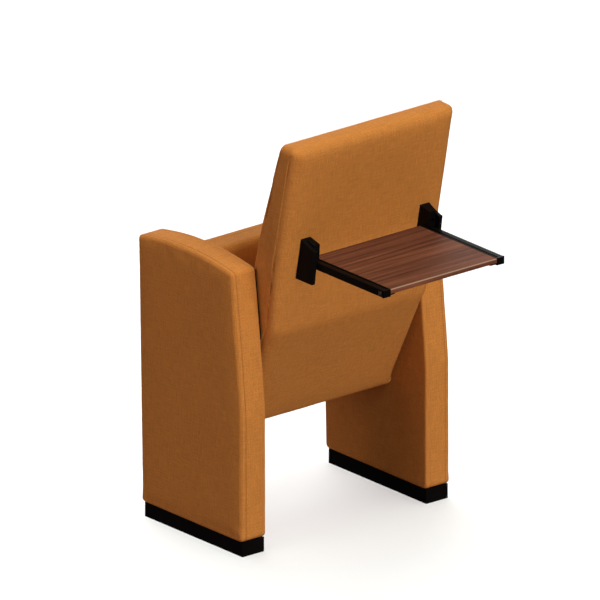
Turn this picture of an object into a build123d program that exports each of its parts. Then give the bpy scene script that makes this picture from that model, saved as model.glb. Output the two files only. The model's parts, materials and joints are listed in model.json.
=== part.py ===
from build123d import *
import math
import os

# Tip-up chair for a lecture hall, with a folding writing tablet on its back.
# Millimetres. +X is the chair's left, the chair faces -Y, +Z is up.
# The origin is at floor level, in the middle of the four floor bolts.
# Every left-hand piece is drawn at +X and mirrored for the right-hand side.

# Side panels
PITCH = 525  # from the middle of one side panel to the middle of the other
PANEL_THICK = 70
PANEL_IN = (PITCH - PANEL_THICK) / 2
PANEL_OUT = (PITCH + PANEL_THICK) / 2
PANEL_FRONT_FOOT = -174.5
PANEL_FRONT_TOP = -188
PANEL_REAR = 172.5
PANEL_REAR_TOP = 135.5
PANEL_WAIST_Z = 325  # the rear edge is upright below this height
PANEL_CORNER_Z = 655
PANEL_CROWN_Z = 668.5
CORE_THICK = 18
CORE_IN = PITCH / 2 - CORE_THICK / 2
CORE_OUT = PITCH / 2 + CORE_THICK / 2
EDGE_FOAM = 12

# Plinth and foot
PLINTH_HIGH = 33.5
PLINTH_WIDE = 62
PLINTH_LONG = 338
PLINTH_WALL = 3
FOOT_WIDE = 54
FOOT_LONG = 326
FOOT_THICK = 6
UPRIGHT_THICK = 5
UPRIGHT_WIDE = 60
UPRIGHT_Y = 70
UPRIGHT_TOP = 160
FLOOR_BOLT_Y = 120
FLOOR_HOLE = 5.5
BOLT = 4  # radius of the M8 bolts in the panels
HEAD = 7
HEAD_HIGH = 5

# Seat: u runs from the pivot to the seat's front edge, w from its underside to its top
PIVOT_Y = -48
PIVOT_Z = 362
TIP = math.radians(83)
SEAT_HALF = 224
SEAT_FRONT = 288
SEAT_TOP = 78
SEAT_UNDER = -20
SEAT_REAR_R = 118
PAN_LOW = 10
PAN_HIGH = 22
PAN_HALF = 218
PAN_REAR = -92
PAN_FRONT = 268
PIN = 6
PIN_RUNNING = 0.05
PIN_END = 178
STOP_SLEEVE = 8
STOP_REACH = 20
STOP_GAP = 0.3

# Backrest: a straight upper face that leans back, and a lower face that leans more
BACK_HALF = 226
BEND_Y = 189
BEND_Z = 510
UPPER_LEAN = 0.198
LOWER_LEAN = 0.502
BACK_TOP = 969
BACK_BOTTOM = 254
BACK_PAD = 14
BACK_BOARD = 12
BOARD_HALF = 204
BOARD_LOW = 322
BOARD_HIGH = 935
ANGLE_PLATE = 4
ANGLE_IN = 214
ANGLE_SCREWS_Z = (430, 540, 575)

# Tablet
TABLET_PIVOT_Y = 250
TABLET_PIVOT_Z = 686.75
ARM_IN = 152
ARM_WIDE = 20.5
ARM_HIGH = 17.5
ARM_END = 505
CAP_END = 510.5
LEDGE_WIDE = 15
LEDGE_LOW = 679
TABLET_LOW = 682.5
TABLET_HIGH = 694.5
TABLET_HALF = 151.5
TABLET_NEAR = 240
TABLET_FAR = 509
BRACKET_IN = 157
BRACKET_PLATE_IN = 173.5
BRACKET_OUT = 183
BRACKET_LOW = 643
BRACKET_HIGH = 741
BRACKET_FLANGE = 4
BRACKET_BOLT_X = 165
BRACKET_BOLTS_Z = (657, 719)
HINGE_PIN = 4

os.makedirs("parts", exist_ok=True)


def save(piece, name):
    """Label a finished piece and write it as its own file."""
    piece.label = name
    export_step(piece, f"parts/{name}.step")


def save_pair(piece, name):
    """Write a left-hand piece and its mirror image, the right-hand one."""
    save(piece, f"left_{name}")
    save(mirror(piece, about=Plane.YZ), f"right_{name}")


def side_plane(x):
    """The plane of the chair's side view at x: local x is Y, local y is Z."""
    return Plane.YZ.offset(x)


def seat_plane(x):
    """The seat's own side view at x: local x is u, local y is w, and -x is its normal."""
    along = (0, -math.cos(TIP), math.sin(TIP))
    return Plane(origin=(x, PIVOT_Y, PIVOT_Z), x_dir=along, z_dir=(-1, 0, 0))


def seat_to_chair(u, w):
    """Y and Z of a point of the tipped seat."""
    return (
        PIVOT_Y - u * math.cos(TIP) + w * math.sin(TIP),
        PIVOT_Z + u * math.sin(TIP) + w * math.cos(TIP),
    )


def back_rear(z):
    """Y of the backrest's rear face at height z."""
    return BEND_Y + (z - BEND_Z) * (UPPER_LEAN if z > BEND_Z else LOWER_LEAN)


def back_plane(x, z, behind):
    """A plane parallel to the backrest's rear face, that far in front of it at height z."""
    lean = UPPER_LEAN if z > BEND_Z else LOWER_LEAN
    return Plane(origin=(x, back_rear(z) - behind, z), x_dir=(1, 0, 0), z_dir=(0, 1, -lean))


def back_layer(near, far, low, high):
    """A layer of the backrest, from near to far in front of its rear face."""
    levels = [low, BEND_Z, high] if low < BEND_Z < high else [low, high]
    with BuildSketch() as layer:
        with BuildLine():
            Polyline(
                *[(back_rear(z) - near, z) for z in levels],
                *[(back_rear(z) - far, z) for z in reversed(levels)],
                close=True,
            )
        make_face()
    return layer.sketch


def panel_view(inset, corner):
    """Side view of a panel, drawn in by inset everywhere but at its foot."""
    foot = PLINTH_HIGH - inset
    with BuildSketch() as view:
        with BuildLine():
            Polyline(
                (PANEL_FRONT_TOP, PANEL_CORNER_Z),
                (PANEL_FRONT_FOOT, foot),
                (PANEL_REAR, foot),
                (PANEL_REAR, PANEL_WAIST_Z),
            )
            ThreePointArc(
                (PANEL_REAR, PANEL_WAIST_Z),
                ((PANEL_REAR + PANEL_REAR_TOP) / 2 + 2, (PANEL_WAIST_Z + PANEL_CORNER_Z) / 2),
                (PANEL_REAR_TOP, PANEL_CORNER_Z),
            )
            ThreePointArc(
                (PANEL_REAR_TOP, PANEL_CORNER_Z),
                ((PANEL_REAR_TOP + PANEL_FRONT_TOP) / 2, PANEL_CROWN_Z),
                (PANEL_FRONT_TOP, PANEL_CORNER_Z),
            )
        make_face()
        if inset:
            offset(amount=-inset, mode=Mode.REPLACE)
        fillet(view.vertices().sort_by(Axis.Y)[-2:], corner)
        if not inset:
            fillet(view.vertices().sort_by(Axis.Y)[:2], corner)
    return view.sketch


def shaft(x_low, x_high, radius, places):
    """Round bars along X from x_low to x_high, one at each (Y, Z) place."""
    with BuildPart() as bars:
        with BuildSketch(side_plane(x_low)):
            with Locations(*places):
                Circle(radius)
        extrude(amount=x_high - x_low)
    return bars.part


panel_outline = panel_view(0, 9)
core_outline = panel_view(EDGE_FOAM, 8)

with BuildSketch() as back_profile:
    with BuildLine():
        Polyline(
            (back_rear(BACK_BOTTOM), BACK_BOTTOM),
            (BEND_Y, BEND_Z),
            (back_rear(BACK_TOP), BACK_TOP),
            (223, BACK_TOP + 1),
            (131, 685),
            (95, 560),
            (76, 440),
            (73, 352),
            (42, BACK_BOTTOM + 4),
            close=True,
        )
    make_face()
    corners = back_profile.vertices().sort_by(Axis.Y)
    fillet(corners[-2:-1], 28)
    fillet(back_profile.vertices().sort_by(Axis.Y)[-1], 10)
    bends = [v for v in back_profile.vertices() if 300 < v.Y < 700]
    fillet(bends, 60)
back_outline = back_profile.sketch

with BuildSketch() as seat_profile:
    low_reach = math.sqrt(SEAT_REAR_R**2 - SEAT_UNDER**2)
    high_reach = math.sqrt(SEAT_REAR_R**2 - SEAT_TOP**2)
    with BuildLine():
        ThreePointArc((-low_reach, SEAT_UNDER), (-SEAT_REAR_R, 0), (-high_reach, SEAT_TOP))
        Polyline(
            (-high_reach, SEAT_TOP),
            (SEAT_FRONT, SEAT_TOP),
            (SEAT_FRONT, SEAT_UNDER),
            (-low_reach, SEAT_UNDER),
        )
    make_face()
    fillet(seat_profile.vertices().sort_by(Axis.X)[-2:], 16)
seat_outline = seat_profile.sketch

# Places of the fasteners and stops, as (Y, Z)
foot_bolts = [(y, z) for y in (-UPRIGHT_Y, UPRIGHT_Y) for z in (70, 130)]
pivot_bolts = [(PIVOT_Y - 28, PIVOT_Z), (PIVOT_Y + 28, PIVOT_Z)]
back_bolts = [(118, 560), (100, 435)]
stop_depth = SEAT_UNDER - STOP_SLEEVE - STOP_GAP
up_stop = seat_to_chair(-95, stop_depth)
down_stop = (PIVOT_Y - 100, PIVOT_Z + stop_depth)
stops = [up_stop, down_stop]

# ---------------------------------------------------------------- side panels

with BuildPart() as foot:
    with Locations((PITCH / 2, 0, FOOT_THICK / 2)):
        Box(FOOT_WIDE, FOOT_LONG, FOOT_THICK)
    with Locations(*[(CORE_IN - UPRIGHT_THICK / 2, y, FOOT_THICK) for y in (-UPRIGHT_Y, UPRIGHT_Y)]):
        Box(
            UPRIGHT_THICK,
            UPRIGHT_WIDE,
            UPRIGHT_TOP - FOOT_THICK,
            align=(Align.CENTER, Align.CENTER, Align.MIN),
        )
    with BuildSketch(Plane.XY):
        with Locations((PITCH / 2, -FLOOR_BOLT_Y), (PITCH / 2, FLOOR_BOLT_Y)):
            Circle(FLOOR_HOLE)
    extrude(amount=FOOT_THICK, mode=Mode.SUBTRACT)
    add(shaft(CORE_IN - UPRIGHT_THICK, CORE_IN, BOLT + 0.3, foot_bolts), mode=Mode.SUBTRACT)
    fillet(foot.edges().filter_by(Axis.X).group_by(Axis.Z)[-1], 10)
save_pair(foot.part, "foot")

with BuildPart() as plinth:
    with BuildSketch(Plane.XY):
        with Locations((PITCH / 2, 0)):
            Rectangle(PLINTH_WIDE, PLINTH_LONG)
            Rectangle(PLINTH_WIDE - 2 * PLINTH_WALL, PLINTH_LONG - 2 * PLINTH_WALL, mode=Mode.SUBTRACT)
    extrude(amount=PLINTH_HIGH)
    outer_corners = plinth.edges().filter_by(Axis.Z).filter_by(lambda e: abs(e.center().Y) > PLINTH_LONG / 2 - 1)
    fillet(outer_corners, 1.5)
save_pair(plinth.part, "plinth")

with BuildPart() as core_board:
    with BuildSketch(side_plane(CORE_IN)):
        add(core_outline)
        with Locations(*foot_bolts, *pivot_bolts, *back_bolts):
            Circle(BOLT + 2, mode=Mode.SUBTRACT)
    extrude(amount=CORE_THICK)
save_pair(core_board.part, "core_board")

with BuildPart() as edge_foam:
    with BuildSketch(side_plane(CORE_IN)):
        add(panel_outline)
        add(core_outline, mode=Mode.SUBTRACT)
    extrude(amount=CORE_THICK)
save_pair(edge_foam.part, "edge_foam")

with BuildPart() as outer_pad:
    with BuildSketch(side_plane(CORE_OUT)):
        add(panel_outline)
    extrude(amount=PANEL_OUT - CORE_OUT)
    fillet(outer_pad.faces().sort_by(Axis.X)[-1].edges(), 6)
save_pair(outer_pad.part, "outer_pad")

with BuildPart() as inner_pad:
    with BuildSketch(side_plane(PANEL_IN)):
        add(panel_outline)
    extrude(amount=CORE_IN - PANEL_IN)
    fillet(inner_pad.faces().sort_by(Axis.X)[0].edges(), 6)
    steel_depth = UPRIGHT_THICK + HEAD_HIGH + 0.5
    with BuildSketch(side_plane(CORE_IN - steel_depth)):
        with Locations(*[(y, UPRIGHT_TOP / 2) for y in (-UPRIGHT_Y, UPRIGHT_Y)]):
            Rectangle(UPRIGHT_WIDE + 4, UPRIGHT_TOP + 4)
        with Locations((PIVOT_Y, PIVOT_Z)):
            Rectangle(84, 54)
        with Locations(*stops):
            Circle(12.5)
    extrude(amount=steel_depth, mode=Mode.SUBTRACT)
    add(shaft(PANEL_IN - 1, CORE_IN, PIN + 1, [(PIVOT_Y, PIVOT_Z)]), mode=Mode.SUBTRACT)
    add(shaft(PANEL_IN - 1, CORE_IN, BOLT + 0.2, stops), mode=Mode.SUBTRACT)
    add(shaft(PANEL_IN - 1, CORE_IN, 8.2, back_bolts), mode=Mode.SUBTRACT)
save_pair(inner_pad.part, "inner_pad")

with BuildPart() as pivot_plate:
    with BuildSketch(side_plane(CORE_IN - 4)):
        with Locations((PIVOT_Y, PIVOT_Z)):
            RectangleRounded(80, 50, 6)
        with Locations(*pivot_bolts):
            Circle(BOLT + 0.3, mode=Mode.SUBTRACT)
    extrude(amount=4)
    add(shaft(PIN_END, CORE_IN, PIN, [(PIVOT_Y, PIVOT_Z)]))
    chamfer(pivot_plate.faces().sort_by(Axis.X)[0].edges(), 1)
save_pair(pivot_plate.part, "pivot_plate")

with BuildPart() as panel_bolts:
    add(shaft(CORE_IN - UPRIGHT_THICK, CORE_OUT - 2, BOLT, foot_bolts))
    add(shaft(CORE_IN - UPRIGHT_THICK - HEAD_HIGH, CORE_IN - UPRIGHT_THICK, HEAD, foot_bolts))
    add(shaft(CORE_IN - 4, CORE_OUT - 2, BOLT, pivot_bolts))
    add(shaft(CORE_IN - 4 - HEAD_HIGH, CORE_IN - 4, HEAD, pivot_bolts))
save_pair(panel_bolts.part, "panel_bolts")

with BuildPart() as core_inserts:
    add(shaft(CORE_IN, CORE_OUT, BOLT + 2, foot_bolts + pivot_bolts + back_bolts))
    add(shaft(CORE_IN, CORE_OUT, BOLT, foot_bolts + pivot_bolts + back_bolts), mode=Mode.SUBTRACT)
save_pair(core_inserts.part, "core_inserts")

with BuildPart() as stop_studs:
    add(shaft(PANEL_IN - STOP_REACH, CORE_IN, BOLT, stops))
    add(shaft(CORE_IN - 3, CORE_IN, 12, stops))
save_pair(stop_studs.part, "stop_studs")

with BuildPart() as stop_sleeves:
    add(shaft(PANEL_IN - STOP_REACH, PANEL_IN, STOP_SLEEVE, stops))
    add(shaft(PANEL_IN - STOP_REACH, PANEL_IN, BOLT, stops), mode=Mode.SUBTRACT)
save_pair(stop_sleeves.part, "stop_sleeves")

# ------------------------------------------------------------------- backrest

bracket_places = [back_plane(BRACKET_BOLT_X, z, 0) for z in BRACKET_BOLTS_Z]
angle_places = [back_plane(BOARD_HALF - 17, z, BACK_PAD + BACK_BOARD) for z in ANGLE_SCREWS_Z]
lean_cos = 1 / math.hypot(1, UPPER_LEAN)
lower_cos = 1 / math.hypot(1, LOWER_LEAN)
pad_deep = BACK_PAD * lean_cos
board_deep = (BACK_PAD + BACK_BOARD) * lean_cos


def back_bars(places, low, high, radius):
    """Round bars square to the backrest's rear face, at the given planes on both sides."""
    with BuildPart() as bars:
        for place in places:
            with BuildSketch(place.offset(low)):
                Circle(radius)
            extrude(amount=high - low)
        mirror(about=Plane.YZ)
    return bars.part


with BuildPart() as back_rear_pad:
    with BuildSketch(side_plane(0)):
        add(back_outline)
        add(back_layer(-60, BACK_PAD, BACK_BOTTOM - 20, BACK_TOP + 20), mode=Mode.INTERSECT)
    extrude(amount=BACK_HALF, both=True)
    sides = back_rear_pad.faces().filter_by(Axis.X).sort_by(Axis.X)
    rear_edges = [
        e
        for side in (sides[0], sides[-1])
        for e in side.edges()
        if e.center().Y > back_rear(min(e.center().Z, BACK_TOP)) - 9 and e.length > 60
    ]
    fillet(rear_edges, 11)
    add(back_bars(bracket_places, -pad_deep - 5, 5, 3.4), mode=Mode.SUBTRACT)
save(back_rear_pad.part, "back_rear_pad")

board_layer = back_layer(BACK_PAD, BACK_PAD + BACK_BOARD, BOARD_LOW, BOARD_HIGH)
with BuildPart() as back_board:
    with BuildSketch(side_plane(0)):
        add(board_layer)
    extrude(amount=BOARD_HALF, both=True)
    add(back_bars(bracket_places, -board_deep - 5, 5 - pad_deep, 4.5), mode=Mode.SUBTRACT)
    add(back_bars(angle_places, -3, 8, 2.5), mode=Mode.SUBTRACT)
save(back_board.part, "back_board")

board_face = BACK_PAD + BACK_BOARD
angle_low = 405
angle_high = 590
with BuildSketch() as angle_side:
    with BuildLine():
        Polyline(
            (back_rear(angle_low) - board_face, angle_low),
            (back_rear(BEND_Z) - board_face, BEND_Z),
            (back_rear(angle_high) - board_face, angle_high),
            (112, angle_high),
            (86, angle_low),
            close=True,
        )
    make_face()
with BuildPart() as back_angle:
    with BuildSketch(side_plane(ANGLE_IN - ANGLE_PLATE)):
        add(angle_side.sketch)
        with Locations(*back_bolts):
            Circle(BOLT + 0.3, mode=Mode.SUBTRACT)
    extrude(amount=ANGLE_PLATE)
    with BuildSketch(side_plane(BOARD_HALF - 34)):
        add(back_layer(board_face, board_face + ANGLE_PLATE, angle_low, angle_high))
    extrude(amount=ANGLE_IN - BOARD_HALF + 34)
    add(back_bars(angle_places, -12, 3, 2.7), mode=Mode.SUBTRACT)
save_pair(back_angle.part, "back_angle")

with BuildPart() as angle_screws:
    add(back_bars(angle_places[:1], -ANGLE_PLATE * lower_cos, 8, 2.5))
    add(back_bars(angle_places[:1], -ANGLE_PLATE * lower_cos - 2, -ANGLE_PLATE * lower_cos, 4.5))
    add(back_bars(angle_places[1:], -ANGLE_PLATE * lean_cos, 8, 2.5))
    add(back_bars(angle_places[1:], -ANGLE_PLATE * lean_cos - 2, -ANGLE_PLATE * lean_cos, 4.5))
save(angle_screws.part, "angle_screws")

with BuildPart() as back_cushion:
    with BuildSketch(side_plane(0)):
        add(back_outline)
        add(back_layer(-60, BACK_PAD, BACK_BOTTOM - 20, BACK_TOP + 20), mode=Mode.SUBTRACT)
    extrude(amount=BACK_HALF, both=True)
    with BuildSketch(side_plane(0)):
        add(board_layer)
    extrude(amount=BOARD_HALF, both=True, mode=Mode.SUBTRACT)
    add(back_bars(bracket_places, -board_deep - 12, -pad_deep, 5), mode=Mode.SUBTRACT)
    with BuildSketch(side_plane(ANGLE_IN - ANGLE_PLATE - HEAD_HIGH - 1)):
        add(angle_side.sketch)
    extrude(amount=BACK_HALF - ANGLE_IN + ANGLE_PLATE + HEAD_HIGH + 2, mode=Mode.SUBTRACT)
    with BuildSketch(side_plane(BOARD_HALF - 35)):
        add(back_layer(board_face, board_face + ANGLE_PLATE + 3, angle_low, angle_high))
    extrude(amount=BACK_HALF, mode=Mode.SUBTRACT)
    mirror(about=Plane.YZ, mode=Mode.INTERSECT)
save(back_cushion.part, "back_cushion")

with BuildPart() as back_spacers:
    add(shaft(ANGLE_IN, CORE_IN, 8, back_bolts))
    add(shaft(ANGLE_IN, CORE_IN, BOLT + 0.3, back_bolts), mode=Mode.SUBTRACT)
save_pair(back_spacers.part, "back_spacers")

with BuildPart() as hanger_bolts:
    add(shaft(ANGLE_IN - ANGLE_PLATE, CORE_OUT - 2, BOLT, back_bolts))
    add(shaft(ANGLE_IN - ANGLE_PLATE - HEAD_HIGH, ANGLE_IN - ANGLE_PLATE, HEAD, back_bolts))
save_pair(hanger_bolts.part, "hanger_bolts")

with BuildPart() as back_inserts:
    add(back_bars(bracket_places, -board_deep, -pad_deep, 4.5))
    add(back_bars(bracket_places, -board_deep - 1, 1 - pad_deep, 3), mode=Mode.SUBTRACT)
save(back_inserts.part, "back_inserts")

# ----------------------------------------------------------------------- seat

with BuildPart() as seat_pan:
    with BuildSketch(seat_plane(0)):
        with Locations(((PAN_REAR + PAN_FRONT) / 2, (PAN_LOW + PAN_HIGH) / 2)):
            Rectangle(PAN_FRONT - PAN_REAR, PAN_HIGH - PAN_LOW)
    extrude(amount=PAN_HALF, both=True)
    screw_places = [
        Plane(
            origin=(x, *seat_to_chair(u, PAN_LOW)),
            x_dir=(1, 0, 0),
            z_dir=(0, math.sin(TIP), math.cos(TIP)),
        )
        for x in (-193, 193)
        for u in (24, 60)
    ]
    for place in screw_places:
        with BuildSketch(place):
            Circle(2.5)
        extrude(amount=9, mode=Mode.SUBTRACT)
save(seat_pan.part, "seat_pan")

with BuildPart() as seat_screws:
    for place in screw_places:
        with BuildSketch(place.offset(-4)):
            Circle(2.5)
        extrude(amount=13)
        with BuildSketch(place.offset(-6.5)):
            Circle(5)
        extrude(amount=2.5)
save(seat_screws.part, "seat_screws")

nose = 18  # the cushion wraps this far over the front of the underside pad
with BuildPart() as seat_cushion:
    with BuildSketch(seat_plane(0)):
        add(seat_outline)
        with BuildLine():
            Polyline(
                (-200, PAN_LOW),
                (SEAT_FRONT - nose, PAN_LOW),
                (SEAT_FRONT - nose, -200),
                (-200, -200),
                close=True,
            )
        make_face(mode=Mode.SUBTRACT)
    extrude(amount=SEAT_HALF, both=True)
    with BuildSketch(seat_plane(0)):
        with Locations(((PAN_REAR + PAN_FRONT) / 2, (PAN_LOW + PAN_HIGH) / 2)):
            Rectangle(PAN_FRONT - PAN_REAR, PAN_HIGH - PAN_LOW)
    extrude(amount=PAN_HALF, both=True, mode=Mode.SUBTRACT)
save(seat_cushion.part, "seat_cushion")

with BuildPart() as seat_underside:
    with BuildSketch(seat_plane(0)):
        add(seat_outline)
        with BuildLine():
            Polyline(
                (-200, PAN_LOW),
                (-200, -200),
                (SEAT_FRONT - nose, -200),
                (SEAT_FRONT - nose, PAN_LOW),
                close=True,
            )
        make_face(mode=Mode.INTERSECT)
    extrude(amount=SEAT_HALF, both=True)
    with BuildSketch(seat_plane(SEAT_HALF + 1)):
        with Locations((25, -3)):
            Rectangle(98, 26)
    extrude(amount=54, mode=Mode.SUBTRACT)
    mirror(about=Plane.YZ, mode=Mode.INTERSECT)
save(seat_underside.part, "seat_underside")

hinge_low = -12
with BuildPart() as hinge_plate:
    with BuildSketch(seat_plane(212)):
        with Locations((25, (hinge_low + PAN_LOW) / 2)):
            RectangleRounded(90, PAN_LOW - hinge_low, 4)
        with Locations((25, PAN_LOW - 2)):
            Rectangle(90, 4)
    extrude(amount=4)
    with BuildSketch(seat_plane(212)):
        with Locations((40, PAN_LOW - 2)):
            Rectangle(60, 4)
    extrude(amount=30)
    with BuildSketch(seat_plane(213)):
        Circle(9)
    extrude(amount=6, mode=Mode.SUBTRACT)
    for place in screw_places[2:]:
        with BuildSketch(place.offset(-5)):
            Circle(2.7)
        extrude(amount=6, mode=Mode.SUBTRACT)
save_pair(hinge_plate.part, "hinge_plate")

with BuildPart() as hinge_bush:
    with BuildSketch(seat_plane(218)):
        Circle(9)
        Circle(PIN + PIN_RUNNING, mode=Mode.SUBTRACT)
    extrude(amount=16)
    with BuildSketch(seat_plane(212)):
        Circle(9)
        Circle(PIN + PIN_RUNNING, mode=Mode.SUBTRACT)
    extrude(amount=2)
save_pair(hinge_bush.part, "hinge_bush")

coil_wire = 1.25
coil_in = 7.3
coil_turns = 6
with BuildPart() as return_spring:
    coil_plane = Plane(origin=(0, PIVOT_Y, PIVOT_Z), x_dir=(1, 0, 0), z_dir=(0, 0, 1))
    with BuildSketch(coil_plane):
        with Locations((201 - coil_wire * coil_turns, coil_in)):
            Rectangle(2 * coil_wire * coil_turns, coil_wire, align=(Align.CENTER, Align.MIN))
        with Locations(
            *[(201 - coil_wire * (2 * turn + 1), coil_in + coil_wire) for turn in range(coil_turns)]
        ):
            Circle(coil_wire)
    revolve(axis=Axis((0, PIVOT_Y, PIVOT_Z), (1, 0, 0)))
save_pair(return_spring.part, "return_spring")

# --------------------------------------------------------------------- tablet

arm_middle = TABLET_PIVOT_Z
arm_low = arm_middle - ARM_HIGH / 2
arm_high = arm_middle + ARM_HIGH / 2
arm_out = ARM_IN + ARM_WIDE
hinge_place = [(TABLET_PIVOT_Y, TABLET_PIVOT_Z)]

with BuildPart() as bracket:
    with BuildSketch(side_plane(BRACKET_PLATE_IN)):
        with BuildLine():
            Polyline(
                (240, BRACKET_HIGH),
                (back_rear(BRACKET_HIGH), BRACKET_HIGH),
                (back_rear(BRACKET_LOW), BRACKET_LOW),
                (273.4, BRACKET_LOW),
                (284.8, 723),
            )
            ThreePointArc((284.8, 723), (261, 730.5), (240, BRACKET_HIGH))
        make_face()
    extrude(amount=BRACKET_OUT - BRACKET_PLATE_IN)
    fillet(bracket.faces().sort_by(Axis.X)[-1].edges(), 1.5)
    with BuildSketch(side_plane(BRACKET_OUT - 1)):
        Polygon(
            (back_rear(BRACKET_HIGH) + 6, BRACKET_HIGH - 7),
            (back_rear(BRACKET_LOW) + 6, BRACKET_LOW + 5),
            (268.5, BRACKET_LOW + 5),
            (279, 719),
            (260, 725),
            (243, 733),
            align=None,
        )
    extrude(amount=2, mode=Mode.SUBTRACT)
    with BuildSketch(side_plane(BRACKET_IN)):
        with BuildLine():
            Polyline(
                (back_rear(697), 697),
                (269, 697),
                (271, 733),
                (240, BRACKET_HIGH),
                (back_rear(BRACKET_HIGH), BRACKET_HIGH),
                close=True,
            )
        make_face()
    extrude(amount=BRACKET_PLATE_IN - BRACKET_IN)
    with BuildSketch(side_plane(BRACKET_IN)):
        add(back_layer(-BRACKET_FLANGE, 0, BRACKET_LOW, 698))
    extrude(amount=BRACKET_PLATE_IN - BRACKET_IN)
    add(shaft(BRACKET_PLATE_IN, BRACKET_OUT - 2, HINGE_PIN, hinge_place), mode=Mode.SUBTRACT)
    add(back_bars(bracket_places, -1, BRACKET_FLANGE, 3.25), mode=Mode.SUBTRACT)
    add(back_bars(bracket_places, BRACKET_FLANGE, 60, 5.6), mode=Mode.SUBTRACT)
save_pair(bracket.part, "tablet_bracket")

with BuildPart() as bracket_bolts:
    add(back_bars(bracket_places, 1 - board_deep, BRACKET_FLANGE, 3))
    add(back_bars(bracket_places, BRACKET_FLANGE, BRACKET_FLANGE + 4, 5.2))
save(bracket_bolts.part, "bracket_bolts")

save_pair(shaft(ARM_IN + 0.5, BRACKET_OUT - 2, HINGE_PIN, hinge_place), "hinge_pin")

with BuildPart() as arm_bush:
    add(shaft(ARM_IN, arm_out, 6, hinge_place))
    add(shaft(ARM_IN, arm_out, HINGE_PIN + PIN_RUNNING, hinge_place), mode=Mode.SUBTRACT)
save_pair(arm_bush.part, "arm_bush")

with BuildPart() as friction_washer:
    add(shaft(arm_out, BRACKET_PLATE_IN - 0.1, 8.2, hinge_place))
    add(shaft(arm_out, BRACKET_PLATE_IN - 0.1, HINGE_PIN + PIN_RUNNING, hinge_place), mode=Mode.SUBTRACT)
save_pair(friction_washer.part, "friction_washer")

tablet_screw_y = (290, 385, 480)
ledge_x = ARM_IN - LEDGE_WIDE / 2
with BuildPart() as tablet_arm:
    with BuildSketch(side_plane(ARM_IN)):
        with BuildLine():
            Polyline(
                (TABLET_PIVOT_Y, arm_low),
                (ARM_END, arm_low),
                (ARM_END, arm_high),
                (TABLET_PIVOT_Y, arm_high),
            )
            ThreePointArc(
                (TABLET_PIVOT_Y, arm_high),
                (TABLET_PIVOT_Y - ARM_HIGH / 2, arm_middle),
                (TABLET_PIVOT_Y, arm_low),
            )
        make_face()
    extrude(amount=ARM_WIDE)
    fillet(tablet_arm.edges().filter_by(Axis.Y).group_by(Axis.X)[-1], 2)
    groove_wide = 4
    with BuildSketch(Plane.XZ.offset(-ARM_END)):
        with Locations((ARM_IN + 3 + groove_wide / 2, arm_high)):
            Rectangle(groove_wide, 10)
    extrude(amount=ARM_END - TABLET_PIVOT_Y - 12, mode=Mode.SUBTRACT)
    with BuildSketch(Plane.XY.offset(LEDGE_LOW)):
        with Locations((ledge_x, (ARM_END + 264) / 2)):
            Rectangle(LEDGE_WIDE, ARM_END - 264)
        with Locations(*[(ledge_x, y) for y in tablet_screw_y]):
            Circle(2.2, mode=Mode.SUBTRACT)
    extrude(amount=TABLET_LOW - LEDGE_LOW)
    add(shaft(ARM_IN - 1, arm_out + 1, 6, hinge_place), mode=Mode.SUBTRACT)
save_pair(tablet_arm.part, "tablet_arm")

with BuildPart() as arm_cap:
    with BuildSketch(side_plane(ARM_IN)):
        with Locations(((ARM_END + CAP_END) / 2, arm_middle)):
            Rectangle(CAP_END - ARM_END, ARM_HIGH)
    extrude(amount=ARM_WIDE)
    fillet(arm_cap.faces().sort_by(Axis.Y)[-1].edges(), 1.2)
save_pair(arm_cap.part, "arm_cap")

screw_places = [(side * ledge_x, y) for side in (-1, 1) for y in tablet_screw_y]
with BuildPart() as tablet_board:
    with BuildSketch(Plane.XY.offset(TABLET_LOW)):
        with Locations((0, (TABLET_NEAR + TABLET_FAR) / 2)):
            Rectangle(2 * TABLET_HALF, TABLET_FAR - TABLET_NEAR)
    extrude(amount=TABLET_HIGH - TABLET_LOW)
    fillet(tablet_board.edges().filter_by(Axis.X), 3)
    with BuildSketch(Plane.XY.offset(TABLET_LOW)):
        with Locations(*screw_places):
            Circle(2)
    extrude(amount=9, mode=Mode.SUBTRACT)
save(tablet_board.part, "tablet_board")

with BuildPart() as tablet_screws:
    with BuildSketch(Plane.XY.offset(LEDGE_LOW)):
        with Locations(*screw_places):
            Circle(2)
    extrude(amount=TABLET_LOW + 9 - LEDGE_LOW)
    with BuildSketch(Plane.XY.offset(LEDGE_LOW - 2)):
        with Locations(*screw_places):
            Circle(4)
    extrude(amount=2)
save(tablet_screws.part, "tablet_screws")

with BuildPart() as tablet_buffers:
    with BuildSketch(Plane.XY.offset(TABLET_LOW)):
        with Locations((-100, 485), (100, 485)):
            Circle(7)
    extrude(amount=-5)
    fillet(tablet_buffers.faces().sort_by(Axis.Z)[:2].edges(), 2)
save(tablet_buffers.part, "tablet_buffers")
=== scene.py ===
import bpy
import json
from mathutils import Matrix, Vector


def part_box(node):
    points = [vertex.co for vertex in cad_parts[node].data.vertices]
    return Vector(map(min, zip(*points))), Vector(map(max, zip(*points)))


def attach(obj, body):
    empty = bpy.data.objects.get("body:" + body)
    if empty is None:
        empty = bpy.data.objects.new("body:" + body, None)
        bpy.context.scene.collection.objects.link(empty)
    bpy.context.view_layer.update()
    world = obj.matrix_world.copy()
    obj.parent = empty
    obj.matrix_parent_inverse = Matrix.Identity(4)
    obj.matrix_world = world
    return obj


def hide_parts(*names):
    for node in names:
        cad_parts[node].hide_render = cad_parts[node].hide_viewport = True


bl_info = {
    "name": "Lecture hall chair",
    "version": (1, 0, 0),
    "blender": (4, 5, 0),
    "location": "View3D > Sidebar > Chair",
    "description": "Upholstery, tablet veneer, fittings and studio for a tip-up lecture hall chair",
    "category": "Object",
}

import json
import math

import bmesh
import bpy
import numpy as np
from mathutils import Matrix, Vector, noise

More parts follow.
